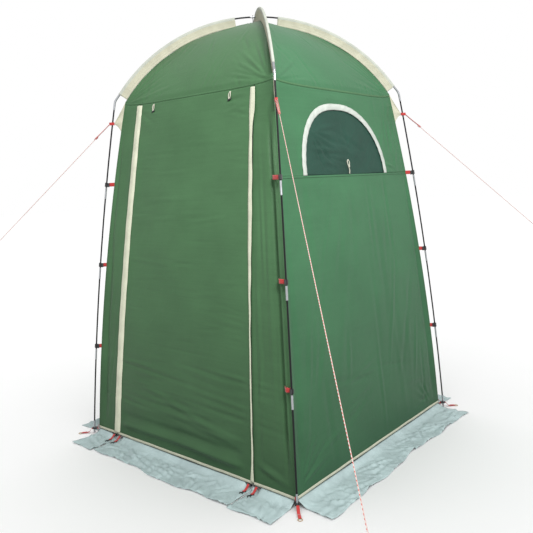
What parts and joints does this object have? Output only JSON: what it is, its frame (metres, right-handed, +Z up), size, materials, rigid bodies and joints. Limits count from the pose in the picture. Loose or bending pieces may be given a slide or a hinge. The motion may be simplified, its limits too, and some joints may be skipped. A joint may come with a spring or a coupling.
{
  "type": "privacy shower tent",
  "caption": "Square upright cloth cabin hung inside crossing arched poles, with a zipped door, a mesh window, mud skirts and guy lines.",
  "frame": {"origin": "on the ground, in the middle of the square that the pole feet stand on", "axes": "+Z up; -Y is the door side; +X is the window side"},
  "size_m": [2.8693, 2.9641, 2.2706],
  "materials": {
    "rod": "glossy black glass-fibre rod",
    "steel": "bright plated steel tube",
    "shock_cord": "elastic cord, hidden in the rods",
    "door_cloth": "thin coated polyester, olive green, slight sheen",
    "light_cloth": "thin coated polyester, brighter green, slight sheen",
    "skirt_cloth": "thin coated polyester, grey-blue",
    "trim": "cream tape and cloth",
    "webbing": "woven red webbing",
    "black_plastic": "moulded black plastic",
    "zip": "nylon coil",
    "dark_metal": "painted slider and pull",
    "mesh": "fine dark insect mesh",
    "flap_cloth": "green cloth behind the mesh",
    "peg_cord": "tan twisted cord",
    "guy_cord": "light cord with red flecks",
    "tie": "black elastic tie"
  },
  "bodies": {
    "tent": {"pole_a_rods": "rod", "pole_b_rods": "rod", "shoulder_elbows": "steel", "pole_ferrules": "steel", "pole_tips": "steel", "shock_cords": "shock_cord", "front_panel_left": "door_cloth", "front_panel_right": "door_cloth", "left_wall": "door_cloth", "back_wall": "door_cloth", "window_wall_lower": "light_cloth", "window_wall_upper": "light_cloth", "roof_front": "light_cloth", "roof_right": "door_cloth", "roof_back": "door_cloth", "roof_left": "door_cloth", "hem_tape": "trim", "sleeve_a": "trim", "sleeve_b": "trim", "shoulder_gussets": "trim", "guy_loops": "webbing", "leg_clips": "black_plastic", "clip_webbing": "webbing", "corner_rings": "black_plastic", "corner_straps": "webbing", "peg_cords": "peg_cord", "zip_coils": "zip", "window_mesh": "mesh", "window_binding": "trim", "window_tie": "trim", "guy_line_left": "guy_cord", "guy_line_right": "guy_cord", "guy_line_front": "guy_cord", "crown_tie": "tie"},
    "door": {"door_panel": "door_cloth", "door_hem": "trim", "door_skirt": "skirt_cloth", "zip_covers": "trim", "peg_tabs_door": "webbing", "peg_hooks_door": "black_plastic"},
    "door_toggle_left": {"toggle_left": "black_plastic", "toggle_loop_left": "trim"},
    "door_toggle_right": {"toggle_right": "black_plastic", "toggle_loop_right": "trim"},
    "window_flap": {"window_flap": "flap_cloth"},
    "zip_slider_left": {"zip_slider_left": "dark_metal"},
    "zip_slider_right": {"zip_slider_right": "dark_metal"},
    "skirt_front_left": {"skirt_front_left": "skirt_cloth", "peg_tab_left": "webbing", "peg_hook_left": "black_plastic"},
    "skirt_front_right": {"skirt_front_right": "skirt_cloth", "peg_tab_right": "webbing", "peg_hook_right": "black_plastic"},
    "skirt_right": {"skirt_right": "skirt_cloth"},
    "skirt_back": {"skirt_back": "skirt_cloth"},
    "skirt_left": {"skirt_left": "skirt_cloth"},
    "guy_runner_left": {"guy_runner_left": "black_plastic"},
    "guy_runner_right": {"guy_runner_right": "black_plastic"},
    "guy_runner_front": {"guy_runner_front": "black_plastic"}
  },
  "joints": [
    {"name": "door_swing", "type": "hinge", "parent": "tent", "child": "door", "pos_m": [0, -0.51282, 1.798], "axis": [-1, 0, 0], "range_deg": [0, 100]},
    {"name": "toggle_left_swing", "type": "hinge", "parent": "door", "child": "door_toggle_left", "pos_m": [-0.27, -0.52067, 1.792], "axis": [-1, 0, 0], "range_deg": [0, 90]},
    {"name": "toggle_right_swing", "type": "hinge", "parent": "door", "child": "door_toggle_right", "pos_m": [0.262, -0.52067, 1.792], "axis": [-1, 0, 0], "range_deg": [0, 90]},
    {"name": "window_flap_drop", "type": "hinge", "parent": "tent", "child": "window_flap", "pos_m": [0.56378, 0, 1.397], "axis": [0, -1, 0], "range_deg": [0, 150]},
    {"name": "zip_left_run", "type": "hinge", "parent": "tent", "child": "zip_slider_left", "pos_m": [-0.62437, 17.40471, -1.00302], "axis": [-0.9962, 0, 0.0869], "range_deg": [0, 5.2]},
    {"name": "zip_right_run", "type": "hinge", "parent": "tent", "child": "zip_slider_right", "pos_m": [0.49344, 17.28623, -1.00302], "axis": [-0.9995, 0, -0.0319], "range_deg": [-2.96, 2.35]},
    {"name": "skirt_front_left_lift", "type": "hinge", "parent": "tent", "child": "skirt_front_left", "pos_m": [0, -0.7027, 0.0285], "axis": [-1, 0, 0], "range_deg": [0, 70]},
    {"name": "skirt_front_right_lift", "type": "hinge", "parent": "tent", "child": "skirt_front_right", "pos_m": [0, -0.7027, 0.0285], "axis": [-1, 0, 0], "range_deg": [0, 70]},
    {"name": "skirt_right_lift", "type": "hinge", "parent": "tent", "child": "skirt_right", "pos_m": [0.7027, 0, 0.0285], "axis": [0, -1, 0], "range_deg": [0, 70]},
    {"name": "skirt_back_lift", "type": "hinge", "parent": "tent", "child": "skirt_back", "pos_m": [0, 0.7027, 0.0285], "axis": [1, 0, 0], "range_deg": [0, 70]},
    {"name": "skirt_left_lift", "type": "hinge", "parent": "tent", "child": "skirt_left", "pos_m": [-0.7027, 0, 0.0285], "axis": [0, 1, 0], "range_deg": [0, 70]},
    {"name": "runner_left_slide", "type": "slide", "parent": "tent", "child": "guy_runner_left", "axis": [0.5138, 0.5138, 0.6871], "range_m": [0, 0.07]},
    {"name": "runner_right_slide", "type": "slide", "parent": "tent", "child": "guy_runner_right", "axis": [-0.5369, -0.5369, 0.6508], "range_m": [0, 0.07]},
    {"name": "runner_front_slide", "type": "slide", "parent": "tent", "child": "guy_runner_front", "axis": [-0.564, 0.564, 0.6032], "range_m": [0, 0.07]}
  ]
}
